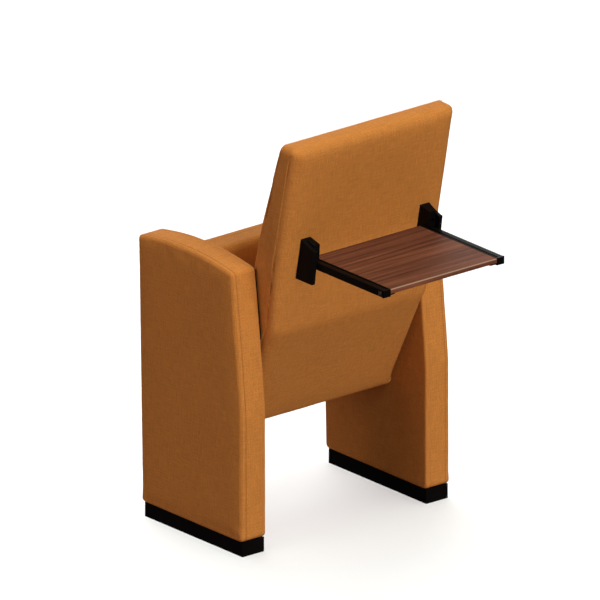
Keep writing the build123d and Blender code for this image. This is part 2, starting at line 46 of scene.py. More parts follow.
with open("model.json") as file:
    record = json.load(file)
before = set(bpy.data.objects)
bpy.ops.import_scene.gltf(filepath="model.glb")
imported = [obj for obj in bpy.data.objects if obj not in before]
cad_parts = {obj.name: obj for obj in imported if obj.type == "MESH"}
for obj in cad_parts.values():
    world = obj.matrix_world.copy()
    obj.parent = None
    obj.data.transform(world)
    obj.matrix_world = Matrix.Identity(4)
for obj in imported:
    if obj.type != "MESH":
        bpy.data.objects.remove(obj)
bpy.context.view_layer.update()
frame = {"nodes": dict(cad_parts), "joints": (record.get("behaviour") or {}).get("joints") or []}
MM = 0.001


def box_mm(node):
    """Lowest and highest corner of a frame node, in millimetres."""
    low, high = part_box(node)
    return np.array(low) / MM, np.array(high) / MM


PANEL_LOW, PANEL_HIGH = box_mm("left_outer_pad")
INNER_X = box_mm("left_inner_pad")[0][0]
BACK_TOP = box_mm("back_rear_pad")[1][2]
CUSHION_LOW, CUSHION_HIGH = box_mm("back_cushion")
SEAT_SIDE = box_mm("seat_cushion")[1][0]
BOARD_LOW, BOARD_HIGH = box_mm("tablet_board")
ARM_LOW, ARM_HIGH = box_mm("left_tablet_arm")
HINGE = next(joint for joint in frame["joints"] if joint["name"] == "seat_tip")
PIVOT = np.array(HINGE["pos_m"]) / MM
TIP = math.radians(HINGE["range_deg"][1])

# Side panel outline: bottom and rear are upright, the front leans, the top is crowned
PANEL_FOOT_FRONT = -174.5
PANEL_TOP_REAR = 135.5
PANEL_TOP_Z = 657
PANEL_WAIST_Z = 325
PANEL_BOW = 8
PANEL_FRONT_PAD = 2.5
PANEL_SEAM_IN = 3.5

# Backrest: rear face bent at BEND, its slopes in Y per Z, and the front face's own points
BEND = (189, 510)
UPPER_LEAN = 0.198
LOWER_LEAN = 0.502
BACK_FRONT = [(223, 970), (131, 685), (95, 560), (76, 440), (73, 352), (42, 258)]

# Seat section about its pivot: u towards the front edge, w towards the sitting side
SEAT_TOP = 78
SEAT_UNDER = -20
SEAT_FRONT = 288
SEAT_REAR_R = 118

# How far the foam pushes the covers out, and for how many frames
SIDE_SWELL = 2.6
EDGE_SWELL = 1.2
BACK_FRONT_SWELL = 9
BACK_REAR_SWELL = 1.6
SEAT_SWELL = 7
CLOTH_FRAMES = 20

# Share by which the backrest is wider above the arms, and where it stands behind the panels
WIDER_ABOVE = 0.026
WIDER_BEHIND = 0.033

# Painted shade strips: black bodies put in the gaps to stand for their shade; where their corners' centres
# are in X, and in Y from the panel's rear edge
SHADOW_STRIP_X = (226.8, 228.2)
SHADOW_STRIP_Y = (-5.4, -9)
SHADOW_STRIP_ROUND = 1.4
SHADOW_STRIP_FROM_Z = 492

# Arm end plates: size, and where their middle is from the arm's end and from mid-height
PLATE_SIZE = (0.8, 11.5, 11.5)
PLATE_FROM_END = 7.5
PLATE_ABOVE_MIDDLE = 6.2

# Directions in which a cover's rim is rounded, from its end face to its side
RIM_TURNS = np.radians([0, 25, 48, 70, 90])

# Parallel camera: angles in degrees, picture width and distance in metres, aim in millimetres
AZIMUTH = 140.39
ELEVATION = 20.55
PICTURE_WIDTH = 1.3207
CAMERA_DISTANCE = 6
AIM_RIGHT, AIM_UP = 8.0, 455.3

# Each lamp's direction, power, apparent width in degrees and colour
WARM = (1, 0.88, 0.94)
LAMPS = {
    "key": ((0.0, 0.60, 0.54), 2.78, 36, (0.98, 1.03, 1.0)),
    "top": ((0.02, 0.16, 1.0), 0.93, 60, (0.93, 1.09, 0.95)),
    "side": ((1.0, -0.12, 0.15), 0.85, 36, WARM),
    "front": ((-0.45, -1.0, 0.5), 1.5, 60, (1, 1, 1)),
    "bounce": ((0.0, 0.5, -0.85), 0.52, 60, WARM),
    "floor_wash": ((0, 0, 1), 2.35, 60, (1, 1, 1)),
}
WORLD_SEEN = 0.97
WORLD_CAST = 0.058
FLOOR_HALF = 30

stitch_lines = {}


def panel_rear(z):
    """The side panels' rear edge in Y at these heights above the waist, bowed out a little."""
    rise = (z - PANEL_WAIST_Z) / (PANEL_TOP_Z - PANEL_WAIST_Z)
    return PANEL_HIGH[1] + (PANEL_TOP_REAR - PANEL_HIGH[1]) * rise + PANEL_BOW * rise * (1 - rise)


def eased(values, start, reach):
    """0 up to start, 1 from reach past it, straight between."""
    return np.clip((values - start) / reach, 0, 1)


# ---- outlines


def polyline(points, step=3.0):
    """Points every few millimetres along straight runs between the given ones."""
    out = [np.array(points[0], float)]
    for a, b in zip(points[:-1], points[1:]):
        a = np.array(a, float)
        b = np.array(b, float)
        count = max(2, int(np.linalg.norm(b - a) / step))
        out.extend(a + (b - a) * i / count for i in range(1, count + 1))
    return np.array(out)


def rounded(points, radius):
    """A polyline whose inner corners are eased over about radius on both sides."""
    path = polyline(points)
    lengths = np.linalg.norm(np.diff(path, axis=0), axis=1)
    reach = max(1, int(radius / lengths.mean()))
    kernel = np.hanning(2 * reach + 3)
    kernel /= kernel.sum()
    pad = len(kernel) // 2
    start = path[0] + (path[0] - path[1]) * np.arange(pad, 0, -1)[:, None]
    end = path[-1] + (path[-1] - path[-2]) * np.arange(1, pad + 1)[:, None]
    long = np.vstack([start, path, end])
    eased = np.column_stack([np.convolve(long[:, axis], kernel, "valid") for axis in (0, 1)])
    eased[0] = path[0]
    eased[-1] = path[-1]
    return eased


def along(path, fractions):
    """Points at these fractions of a path's length."""
    lengths = np.concatenate([[0], np.cumsum(np.linalg.norm(np.diff(path, axis=0), axis=1))])
    at = np.asarray(fractions) * lengths[-1]
    return np.column_stack([np.interp(at, lengths, path[:, axis]) for axis in (0, 1)])


def trimmed(path, start, end):
    """The path without this much of its length at the start and the end."""
    total = np.linalg.norm(np.diff(path, axis=0), axis=1).sum()
    return along(path, np.linspace(start / total, 1 - end / total, len(path)))


def corner_reach(before, after, radius):
    """How far a fillet of this radius reaches along both sides of a corner."""
    incoming = before[-1] - before[-3]
    outgoing = after[2] - after[0]
    cosine = incoming @ outgoing / np.linalg.norm(incoming) / np.linalg.norm(outgoing)
    return radius * math.tan(math.acos(max(-1, min(1, cosine))) / 2)


def filleted(sides, radii):
    """Four sides that start and end in the middle of the rounded corners between them."""
    reach = [corner_reach(sides[i - 1], sides[i], radii[i]) for i in range(4)]
    cut = [trimmed(sides[i], reach[i], reach[(i + 1) % 4]) for i in range(4)]
    halves = []
    for i in range(4):
        a, b, c = cut[i - 1][-1], sides[i][0], cut[i][0]
        t = np.linspace(0, 1, 17)[:, None]
        bend = (1 - t) ** 2 * a + 2 * t * (1 - t) * b + t**2 * c
        halves.append((bend[:9], bend[8:]))
    return [np.vstack([halves[i][1], cut[i][1:-1], halves[(i + 1) % 4][0]]) for i in range(4)]


def steps(count, seams=(), gap=0.0):
    """Even fractions from 0 to 1, with a close group of three at each seam."""
    even = [i / count for i in range(count + 1)]
    for seam in seams:
        even = [f for f in even if abs(f - seam) > 2.2 * gap or f in (0, 1)]
        even += [seam - gap, seam, seam + gap]
    return sorted(even)


# ---- slabs


class Slab:
    """A closed upholstered body: an outline in side view, carried across X with rounded edges.

    sides are its bottom, rear, top and front as 2-D paths, across and up are the fractions
    of the vertex columns, and edges gives the four sides' rounding at the low and high end.
    place turns 2-D points into Y and Z.
    """

    def __init__(self, sides, radii, across, up, span, edges, rows, place=lambda p: p):
        self.place = place
        self.across, self.up = across, up
        turned = [[1 - f for f in reversed(fractions)] for fractions in (across, up)]
        fractions = [across, up, *turned]
        loop = [along(path, at)[:-1] for path, at in zip(filleted(sides, radii), fractions)]
        counts = [len(part) for part in loop]
        self.loop = np.vstack(loop)
        self.nb, self.nr = counts[0], counts[1]
        self.n = len(self.loop)
        ahead = np.roll(self.loop, -1, 0)
        behind = np.roll(self.loop, 1, 0)
        tangent = ahead - behind
        tangent /= np.linalg.norm(tangent, axis=1)[:, None]
        self.inward = np.column_stack([-tangent[:, 1], tangent[:, 0]])
        self.edge = [self._spread(edges[0], counts), self._spread(edges[1], counts)]
        self.length = np.concatenate([[0], np.cumsum(np.linalg.norm(ahead - self.loop, axis=1))])
        self._build(span, rows)

    def _spread(self, values, counts):
        """One value a side, spread over the loop and eased at the corners."""
        flat = np.concatenate([np.full(count, value, float) for count, value in zip(counts, values)])
        for _ in range(12):
            flat = (np.roll(flat, 1) + 2 * flat + np.roll(flat, -1)) / 4
        return flat

    def _build(self, span, rows):
        low, high = span
        flats, xs, self.wrap = [], [], []

        def rim(end, sign, edge, turns):
            for phi in turns:
                flats.append(self.loop + self.inward * (edge * (1 - math.sin(phi)))[:, None])
                xs.append(end + sign * edge * (1 - math.cos(phi)))
                self.wrap.append(end + sign * edge * (1 - math.pi / 2 + phi))

        rim(low, 1, self.edge[0], RIM_TURNS)
        for fraction in rows[1:-1]:
            flats.append(self.loop.copy())
            xs.append((low + self.edge[0]) * (1 - fraction) + (high - self.edge[1]) * fraction)
            self.wrap.append(xs[-1])
        rim(high, -1, self.edge[1], RIM_TURNS[::-1])
        self.row_count = len(flats)
        self.first_flat = len(RIM_TURNS) - 1
        inner = self._cap(flats[0])
        outer = self._cap(flats[-1])
        flat = np.vstack(flats + [inner, outer])
        x = np.concatenate(xs + [np.full(len(inner), low), np.full(len(outer), high)])
        self.flat = flat
        self.co = np.column_stack([x, self.place(flat)])
        self._faces()

    def _grid_boundary(self, i, j):
        """Loop index of a cap grid's boundary vertex, or None inside it."""
        nb, nr = self.nb, self.nr
        if j == 0:
            return i
        if i == nb:
            return nb + j
        if j == nr:
            return nb + nr + (nb - i)
        if i == 0:
            return (2 * nb + nr + (nr - j)) % self.n
        return None

    def _cap(self, ring):
        """Inner vertices of an end face, blended from its four sides."""
        nb, nr = self.nb, self.nr
        bottom = np.array([ring[self._grid_boundary(i, 0)] for i in range(nb + 1)])
        top = np.array([ring[self._grid_boundary(i, nr)] for i in range(nb + 1)])
        front = np.array([ring[self._grid_boundary(0, j)] for j in range(nr + 1)])
        rear = np.array([ring[self._grid_boundary(nb, j)] for j in range(nr + 1)])
        points = []
        for i in range(1, nb):
            u = self.across[i]
            v = np.array(self.up[1:nr])[:, None]
            ruled = (1 - v) * bottom[i] + v * top[i] + (1 - u) * front[1:nr] + u * rear[1:nr]
            corners = (1 - u) * (1 - v) * bottom[0] + u * (1 - v) * bottom[nb]
            corners = corners + (1 - u) * v * top[0] + u * v * top[nb]
            points.append(ruled - corners)
        return np.vstack(points)

    def cap_index(self, high, i, j):
        """Vertex number at column i, row j of the low or high end face."""
        edge = self._grid_boundary(i, j)
        if edge is not None:
            return edge + (self.row_count - 1) * self.n * high
        inner = (self.nb - 1) * (self.nr - 1)
        return self.row_count * self.n + inner * high + (i - 1) * (self.nr - 1) + j - 1

    def _faces(self):
        self.faces, self.uvs = [], []
        n = self.n
        for row in range(self.row_count - 1):
            for k in range(n):
                ahead = (k + 1) % n
                face = (row * n + k, row * n + ahead, (row + 1) * n + ahead, (row + 1) * n + k)
                s0, s1 = self.length[k], self.length[k + 1]
                here, above = self.wrap[row], self.wrap[row + 1]
                self.faces.append(face)
                self.uvs.append(((s0, here[k]), (s1, here[ahead]), (s1, above[ahead]), (s0, above[k])))
        for high in (0, 1):
            for i in range(self.nb):
                for j in range(self.nr):
                    corners = ((i, j), (i + 1, j), (i + 1, j + 1), (i, j + 1))
                    face = [self.cap_index(high, *corner) for corner in corners]
                    face = face if high else face[::-1]
                    self.faces.append(tuple(face))
                    self.uvs.append(tuple(tuple(self.flat[v]) for v in face))

    def row(self, number):
        """Vertex numbers of one row around the body."""
        return np.arange(number * self.n, (number + 1) * self.n)

    def _ring(self, cells):
        """Vertex numbers along these cells of the low end face, over, back along the high one."""
        start, end = self._grid_boundary(*cells[0]), self._grid_boundary(*cells[-1])
        between = range(1, self.row_count - 1)
        out = [self.cap_index(0, *cell) for cell in cells]
        over = [row * self.n + end for row in between]
        home = [self.cap_index(1, *cell) for cell in reversed(cells)]
        under = [row * self.n + start for row in reversed(between)]
        return np.array(out + over + home + under)

    def belt(self, column):
        """Vertex numbers of an upright line around the body."""
        return self._ring([(column, j) for j in range(self.nr + 1)])

    def hoop(self, level):
        """Vertex numbers of a level line around the body."""
        return self._ring([(i, level) for i in range(self.nb + 1)])

    def mesh(self, name):
        """The body as a Blender mesh in metres, with its weave map."""
        data = bpy.data.meshes.new(name)
        data.from_pydata((self.co * MM).tolist(), [], self.faces)
        weave = data.uv_layers.new(name="weave")
        flat = [value * MM for face in self.uvs for pair in face for value in pair]
        weave.data.foreach_set("uv", flat)
        # seam holds how much painted shade each vertex's crease gets in the cloth's colour
        data.attributes.new("seam", "FLOAT", "POINT")
        shade_smooth(data)
        return data


def new_object(name, data):
    piece = bpy.data.objects.new(name, data)
    bpy.context.scene.collection.objects.link(piece)
    return piece


def shade_smooth(data):
    data.polygons.foreach_set("use_smooth", [True] * len(data.polygons))


def normals_of(data):
    out = np.zeros(len(data.vertices) * 3)
    data.vertex_normals.foreach_get("vector", out)
    return out.reshape(-1, 3)


def points_of(data):
    out = np.zeros(len(data.vertices) * 3)
    data.vertices.foreach_get("co", out)
    return out.reshape(-1, 3)


def put_points(data, co):
    data.vertices.foreach_set("co", co.ravel())
    data.update()


def swell(piece, allowed, pressure):
    """Blow the cover up like foam under cloth, by at most the allowed metres at each vertex."""
    rest = points_of(piece.data)
    cloth = piece.modifiers.new("cloth", "CLOTH")
    cloth.settings.quality = 4
    cloth.settings.mass = 0.25
    cloth.settings.tension_stiffness = 12
    cloth.settings.compression_stiffness = 12
    cloth.settings.bending_stiffness = 0.4
    cloth.settings.use_pressure = True
    cloth.settings.uniform_pressure_force = pressure
    cloth.settings.effector_weights.gravity = 0
    cloth.collision_settings.use_collision = False
    scene = bpy.context.scene
    for number in range(1, CLOTH_FRAMES + 1):
        scene.frame_set(number)
    seen = piece.evaluated_get(bpy.context.evaluated_depsgraph_get())
    moved = points_of(seen.data) - rest
    piece.modifiers.remove(cloth)
    scene.frame_set(1)
    far = np.linalg.norm(moved, axis=1) + 1e-9
    limit = np.maximum(allowed, 1e-7)
    moved *= (limit * np.tanh(far / limit) / far)[:, None]
    put_points(piece.data, rest + moved)


def press_in(piece, numbers, depth, shade=1.0):
    """Pull a stitched line of vertices into the pad, and mark how much painted shade its crease gets in the
    cloth's colour.
    """
    for number in numbers:
        piece.data.attributes["seam"].data[int(number)].value = shade
    co = points_of(piece.data)
    co[numbers] -= normals_of(piece.data)[numbers] * depth * MM
    put_points(piece.data, co)


def ripple(piece, depth, size):
    """The slight unevenness of cloth pulled over foam."""
    co = points_of(piece.data)
    normal = normals_of(piece.data)
    rise = np.array([noise.noise(Vector(p) / (size * MM)) for p in co])
    co += normal * (rise * depth * MM)[:, None]
    put_points(piece.data, co)


def line_above(piece, numbers, lift):
    """Points along a line of vertices, lifted off the surface."""
    co = points_of(piece.data)
    return co[numbers] + normals_of(piece.data)[numbers] * lift * MM


def smoothed(piece):
    """Subdivide once and keep the result as a plain mesh."""
    finer = piece.modifiers.new("finer", "SUBSURF")
    finer.levels = 1
    finer.render_levels = 1
    seen = piece.evaluated_get(bpy.context.evaluated_depsgraph_get())
    data = bpy.data.meshes.new_from_object(seen)
    piece.modifiers.remove(finer)
    old = piece.data
    piece.data = data
    bpy.data.meshes.remove(old)
    data.name = piece.name


def skin(made, rings):
    """Faces from ring to ring of a bmesh's vertices, and over both ends."""
    count = len(rings[0])
    for low, high in zip(rings[:-1], rings[1:]):
        for i in range(count):
            made.faces.new((low[i], low[(i + 1) % count], high[(i + 1) % count], high[i]))
    made.faces.new(rings[0][::-1])
    made.faces.new(rings[-1])


def kept(made, name, sharp):
    """A bmesh as a smooth piece, with edges that turn more than this many degrees left sharp."""
    bmesh.ops.recalc_face_normals(made, faces=made.faces)
    data = bpy.data.meshes.new(name)
    made.to_mesh(data)
    made.free()
    shade_smooth(data)
    data.set_sharp_from_angle(angle=math.radians(sharp))
    return new_object(name, data)


def mirrored(piece, name):
    """A mirror image of a piece across the chair's middle."""
    data = piece.data.copy()
    data.transform(Matrix.Scale(-1, 4, Vector((1, 0, 0))))
    data.flip_normals()
    data.name = name
    return new_object(name, data)


# ---- shaders


def add_node(tree, kind, settings=None, sockets=None):
    """Add a node: its settings first, then values or links for its sockets."""
    node = tree.nodes.new(kind)
    for name, value in (settings or {}).items():
        setattr(node, name, value)
    for name, value in (sockets or {}).items():
        value = getattr(value, "socket", value)
        if isinstance(value, bpy.types.NodeSocket):
            tree.links.new(value, node.inputs[name])
        else:
            node.inputs[name].default_value = value
    return node


class Number:
    """One number in a shader. Arithmetic on it adds the Math nodes that work it out."""

    def __init__(self, shader, socket):
        self.shader = shader
        self.socket = socket

    def math(self, operation, *others):
        sockets = {i: value for i, value in enumerate((self, *others))}
        return self.shader.node("ShaderNodeMath", {"operation": operation}, sockets)

    def __add__(self, other):
        return self.math("ADD", other)

    def __sub__(self, other):
        return self.math("SUBTRACT", other)

    def __rsub__(self, other):
        return (self * -1) + other

    def __mul__(self, other):
        return self.math("MULTIPLY", other)

    __radd__ = __add__


class Shader:
    """A material under construction."""

    def __init__(self, name):
        self.material = bpy.data.materials.new(name)
        self.material.use_nodes = True
        self.tree = self.material.node_tree
        self.tree.nodes.clear()

    def node(self, kind, settings=None, sockets=None, out=0):
        node = add_node(self.tree, kind, settings, sockets)
        return Number(self, node.outputs[out]) if node.outputs else None

    def ramp(self, factor, colours):
        """Three colours, blended from one to the next."""
        node = add_node(self.tree, "ShaderNodeValToRGB", None, {"Fac": factor})
        marks = node.color_ramp.elements
        marks.new(0.5)
        for mark, colour in zip(marks, colours):
            mark.color = (*colour, 1)
        return Number(self, node.outputs[0])

    def place(self, scale=(1, 1, 1), layer=None):
        """Object coordinates in metres, or the piece's own map, stretched by scale."""
        if layer:
            start = self.node("ShaderNodeUVMap", {"uv_map": layer})
        else:
            start = self.node("ShaderNodeTexCoord", out="Object")
        return self.node("ShaderNodeMapping", None, {"Vector": start, "Scale": scale})

    def axes(self, vector):
        """The three numbers of a vector."""
        node = add_node(self.tree, "ShaderNodeSeparateXYZ", None, {0: vector})
        return [Number(self, output) for output in node.outputs]

    def noise(self, where, scale, detail=2.0, rough=0.5):
        sockets = {"Vector": where, "Scale": scale, "Detail": detail, "Roughness": rough}
        return self.node("ShaderNodeTexNoise", None, sockets)

    def between(self, value, low, high):
        """0 below low, 1 above high, smooth between."""
        sockets = {"Value": value, "From Min": low, "From Max": high}
        return self.node("ShaderNodeMapRange", {"interpolation_type": "SMOOTHSTEP"}, sockets)

    def mix(self, factor, a, b):
        """Two colours mixed. a and b are colours or links."""
        a = a if isinstance(a, Number) else (*a, 1)
        b = b if isinstance(b, Number) else (*b, 1)
        return self.node("ShaderNodeMix", {"data_type": "RGBA"}, {0: factor, 6: a, 7: b}, out=2)

    def bump(self, height, distance, strength=1.0):
        sockets = {"Height": height, "Distance": distance, "Strength": strength}
        return self.node("ShaderNodeBump", None, sockets)

    def finish(self, **sockets):
        """The surface itself, with its sockets' values or links."""
        named = {name.replace("_", " "): value for name, value in sockets.items()}
        for name, value in named.items():
            if isinstance(value, tuple) and len(value) == 3:
                named[name] = (*value, 1)
        surface = self.node("ShaderNodeBsdfPrincipled", None, named)
        self.node("ShaderNodeOutputMaterial", None, {"Surface": surface})
        return self.material


def upholstery(name, light, dark, pitch):
    """Plain-woven polyester: crossing threads, slubs along them, and a soft fuzz, with painted shade in the
    hollows between threads and painted shade along the pressed-in seams.
    """
    s = Shader(name)
    cells = s.place((1 / pitch, 1 / pitch, 1), "weave")
    u, v, _ = s.axes(cells)
    across = (u.math("FRACT") * math.pi).math("SINE")
    along_v = (v.math("FRACT") * math.pi).math("SINE")
    parity = (u.math("FLOOR") + v.math("FLOOR")).math("MODULO", 2.0).math("ABSOLUTE")
    warp = across * (along_v * 0.4 + 0.6)
    weft = along_v * (across * 0.4 + 0.6)
    height = parity * warp + (1 - parity) * weft
    warp_slub = s.noise(s.place((430, 30, 1), "weave"), 1.0, 3.0, 0.6)
    weft_slub = s.noise(s.place((30, 430, 1), "weave"), 1.0, 3.0, 0.6)
    slub = parity * warp_slub + (1 - parity) * weft_slub
    streaks = (warp_slub + weft_slub) * 0.5
    patches = s.noise(s.place(), 7.0, 3.0)
    shade = s.between(slub * 0.65 + streaks * 0.35, 0.32, 0.68)
    thread = s.mix(shade, dark, light)
    # Painted shade: the hollows between threads are darkened towards half the dark thread colour.
    hollow = s.between(height, 0.0, 0.55)
    painted_hollow_shade = tuple(channel * 0.5 for channel in dark)
    woven = s.mix(hollow, painted_hollow_shade, thread)
    worn = s.mix(s.between(patches, 0.3, 0.75) * 0.06, woven, tuple(c * 1.2 for c in light))
    # Painted shade: the seam mark darkens the cloth where the pressed-in crease would lie in shadow.
    crease_shade_mask = s.node("ShaderNodeAttribute", {"attribute_name": "seam"}, out="Fac")
    crease_shaded_colour = s.mix(s.between(crease_shade_mask, 0.25, 1.0) * 0.42, worn, tuple(c * 0.2 for c in dark))
    relief = height * 0.8 + slub * 0.5 + s.noise(s.place(), 2600, 1.0) * 0.25
    return s.finish(
        Base_Color=crease_shaded_colour,
        Roughness=0.86 - hollow * 0.08,
        Sheen_Weight=0.05,
        Sheen_Roughness=0.5,
        Sheen_Tint=(0.95, 0.55, 0.2),
        Specular_IOR_Level=0.07,
        Normal=s.bump(relief, 0.0005, 0.8),
    )


def veneer(name, light, dark, edge, rear_y, top_z):
    """Straight-grained walnut veneer with pores, a satin lacquer and a painted highlight line along the
    rear top edge.
    """
    s = Shader(name)
    where = s.place()
    x, y, z = s.axes(where)
    wander = s.noise(s.place((2.2, 9, 9)), 1.0, 2.0) * 0.016
    sheet = s.node("ShaderNodeCombineXYZ", None, {"X": x * 2.6, "Y": (y + wander) * 95, "Z": z * 6})
    bands = s.noise(sheet, 1.0, 5.0, 0.62)
    fine = s.noise(s.place((5, 520, 520)), 1.0, 3.0, 0.7)
    broad = s.noise(s.place((1.4, 17, 10)), 1.0, 2.0)
    pores = s.between(s.noise(s.place((55, 2600, 2600)), 1.0, 1.0), 0.60, 0.72)
    tone = s.between(bands * 0.42 + broad * 0.26 + fine * 0.42, 0.42, 0.70)
    middle = tuple((a + b) / 2 * 1.02 for a, b in zip(light, dark))
    wood = s.ramp(tone, (dark, middle, light))
    pored = s.mix(pores * 0.45, wood, tuple(c * 0.5 for c in dark))
    # Painted highlight: a thin paler line where the rounded rear top edge catches the light.
    painted_edge_highlight = s.between(y, rear_y - 0.0026, rear_y - 0.0012) * s.between(z, top_z - 0.0030, top_z - 0.0012)
    edge_highlighted = s.mix(painted_edge_highlight * 0.75, pored, edge)
    relief = bands * 0.4 + fine * 0.35 - pores * 0.6
    return s.finish(
        Base_Color=edge_highlighted,
        Roughness=0.48 + fine * 0.16 + pores * 0.15,
        Coat_Weight=0.012,
        Coat_Roughness=0.4,
        Specular_IOR_Level=0.06,
        Normal=s.bump(relief, 0.00012, 0.6),
    )


def painted(name, colour, rough, grain):
    """Powder-coated or anodised metal and moulded plastic: a fine pebble and dull patches."""
    s = Shader(name)
    pebble = s.noise(s.place(), grain, 2.0)
    patches = s.noise(s.place(), 24.0, 3.0)
    paler = tuple(min(1, c * 1.6 + 0.001) for c in colour)
    return s.finish(
        Base_Color=s.mix(s.between(patches, 0.35, 0.8) * 0.5, colour, paler),
        Roughness=patches * 0.2 + (rough - 0.1),
        Specular_IOR_Level=0.05,
        Normal=s.bump(pebble + patches * 0.3, 0.00008, 0.6),
    )


def brushed(name, colour, axis_scale):
    """Zinc-plated steel with fine lines along one axis and cloudy plating."""
    s = Shader(name)
    lines = s.noise(s.place(axis_scale), 1.0, 3.0, 0.7)
    cloud = s.noise(s.place(), 45.0, 3.0)
    return s.finish(
        Base_Color=s.mix(s.between(cloud, 0.3, 0.7), colour, tuple(c * 0.72 for c in colour)),
        Roughness=lines * 0.25 + 0.2,
        Metallic=1.0,
        Normal=s.bump(lines, 0.00005, 0.5),
    )


def plywood(name, light, dark):
    """Birch plywood: glued layers across X and a faint grain."""
    s = Shader(name)
    x, _, _ = s.axes(s.place())
    ply = s.between((x * 715).math("FRACT"), 0.35, 0.65)
    grain = s.noise(s.place((700, 25, 4)), 1.0, 3.0, 0.6)
    tone = s.between(grain, 0.3, 0.7) * 0.6 + ply * 0.4
    return s.finish(
        Base_Color=s.mix(tone, dark, light),
        Roughness=0.62 + grain * 0.15,
        Normal=s.bump(grain, 0.0001, 0.5),
    )


def rubber(name, colour):
    """Moulded rubber with a matte bloom."""
    s = Shader(name)
    bloom = s.noise(s.place(), 180.0, 4.0, 0.6)
    return s.finish(
        Base_Color=s.mix(s.between(bloom, 0.4, 0.8) * 0.6, colour, tuple(c * 2.2 for c in colour)),
        Roughness=0.72 + bloom * 0.2,
        Specular_IOR_Level=0.06,
        Normal=s.bump(bloom, 0.0001, 0.5),
    )


def paint(piece, material):
    """Give a piece or a frame node one material all over."""
    piece.data.materials.clear()
    piece.data.materials.append(material)


def paint_nodes(names, material):
    for name in names:
        paint(frame["nodes"][name], material)


def pair(*names):
    """The left and right nodes of these names."""
    return [f"{side}_{name}" for name in names for side in ("left", "right")]


# ---- geometry nodes


def grown(name, source, tree, values):
    """Run a tree on a source object and keep the result as a plain mesh piece."""
    modifier = source.modifiers.new(name, "NODES")
    modifier.node_group = tree
    for item in tree.interface.items_tree:
        if item.in_out == "INPUT" and item.name in values:
            modifier[item.identifier] = values[item.name]
    seen = source.evaluated_get(bpy.context.evaluated_depsgraph_get())
    data = bpy.data.meshes.new_from_object(seen)
    source.modifiers.remove(modifier)
    bpy.data.objects.remove(source)
    data.name = name
    return new_object(name, data)


def line_object(name, lines):
    """A mesh of edges along closed lines of points."""
    verts, edges = [], []
    for line in lines:
        first = len(verts)
        verts.extend(tuple(point) for point in line)
        edges.extend((first + i, first + (i + 1) % len(line)) for i in range(len(line)))
    data = bpy.data.meshes.new(name)
    data.from_pydata(verts, edges, [])
    return new_object(name, data)


def stitch_tree(material):
    """Short fat threads spaced along every edge line, each lying along the line."""
    tree = bpy.data.node_groups.new("stitch_line", "GeometryNodeTree")
    face = tree.interface
    face.new_socket("Geometry", in_out="INPUT", socket_type="NodeSocketGeometry")
    for label in ("Spacing", "Length", "Thickness"):
        face.new_socket(label, in_out="INPUT", socket_type="NodeSocketFloat")
    face.new_socket("Geometry", in_out="OUTPUT", socket_type="NodeSocketGeometry")
    start = add_node(tree, "NodeGroupInput").outputs
    curve = add_node(tree, "GeometryNodeMeshToCurve", None, {0: start["Geometry"]})
    sockets = {"Curve": curve.outputs[0], "Length": start["Spacing"]}
    spaced = add_node(tree, "GeometryNodeResampleCurve", {"mode": "LENGTH"}, sockets)
    sockets = {"Curve": spaced.outputs[0]}
    points = add_node(tree, "GeometryNodeCurveToPoints", {"mode": "EVALUATED"}, sockets)
    sockets = {"Segments": 8, "Rings": 6, "Radius": 0.5}
    thread = add_node(tree, "GeometryNodeMeshUVSphere", None, sockets)
    size = add_node(tree, "ShaderNodeCombineXYZ", None, {
        "X": start["Thickness"], "Y": start["Thickness"], "Z": start["Length"],
    })
    placed = add_node(tree, "GeometryNodeInstanceOnPoints", None, {
        "Points": points.outputs["Points"],
        "Instance": thread.outputs["Mesh"],
        "Rotation": points.outputs["Rotation"],
        "Scale": size.outputs[0],
    })
    real = add_node(tree, "GeometryNodeRealizeInstances", None, {0: placed.outputs[0]})
    sockets = {"Geometry": real.outputs[0], "Material": material}
    coloured = add_node(tree, "GeometryNodeSetMaterial", None, sockets)
    add_node(tree, "NodeGroupOutput", None, {0: coloured.outputs[0]})
    return tree


# ---- properties


def colour(name, description, default):
    return bpy.props.FloatVectorProperty(
        name=name, description=description, subtype="COLOR", default=default, min=0, max=1,
    )


def distance(name, description, default, low, high):
    return bpy.props.FloatProperty(
        name=name, description=description, subtype="DISTANCE", default=default, min=low, max=high,
    )


class ChairLook(bpy.types.PropertyGroup):
    """Sizes and colours of the chair's covers, tablet and fittings."""

    fabric_light: colour("Light threads", "The fabric's raised threads", (0.735, 0.260, 0.053))
    fabric_dark: colour("Dark threads", "The fabric's sunken threads", (0.53, 0.183, 0.0375))
    wood_light: colour("Light grain", "Palest colour of the tablet's veneer", (0.230, 0.076, 0.038))
    wood_dark: colour("Dark grain", "Darkest colour of the tablet's veneer", (0.062, 0.018, 0.010))
    # Colour of the painted highlight along the tablet's rear edge
    wood_edge_highlight: colour("Edge line", "Painted highlight along the tablet's rear edge", (0.40, 0.25, 0.17))
    black: colour("Black parts", "The brackets, arms and plinths", (0.0032, 0.0024, 0.002))
    weave_pitch: distance("Weave pitch", "From thread to thread", 0.0028, 0.0005, 0.01)
    stitch_spacing: distance("Stitch spacing", "From stitch to stitch", 0.0052, 0.002, 0.02)
    stitch_length: distance("Stitch length", "Length of one stitch", 0.0038, 0.001, 0.02)
    stitch_thickness: distance("Stitch thickness", "Sewing thread", 0.0008, 0.0002, 0.003)
    seam_depth: bpy.props.FloatProperty(
        name="Seam depth", description="How far a sewn line is pulled in, in millimetres",
        default=1.3, min=0, max=4,
    )
    pressure: bpy.props.FloatProperty(
        name="Foam pressure", description="Pressure of the foam inside the covers",
        default=4.0, min=0, max=20,
    )


def look():
    return bpy.context.scene.chair_look


def fabric():
    """The one upholstery cloth, made when first asked for."""
    made = bpy.data.materials.get("woven_upholstery")
    if made:
        return made
    colours = tuple(look().fabric_light), tuple(look().fabric_dark)
    return upholstery("woven_upholstery", *colours, look().weave_pitch)


# ---- operators


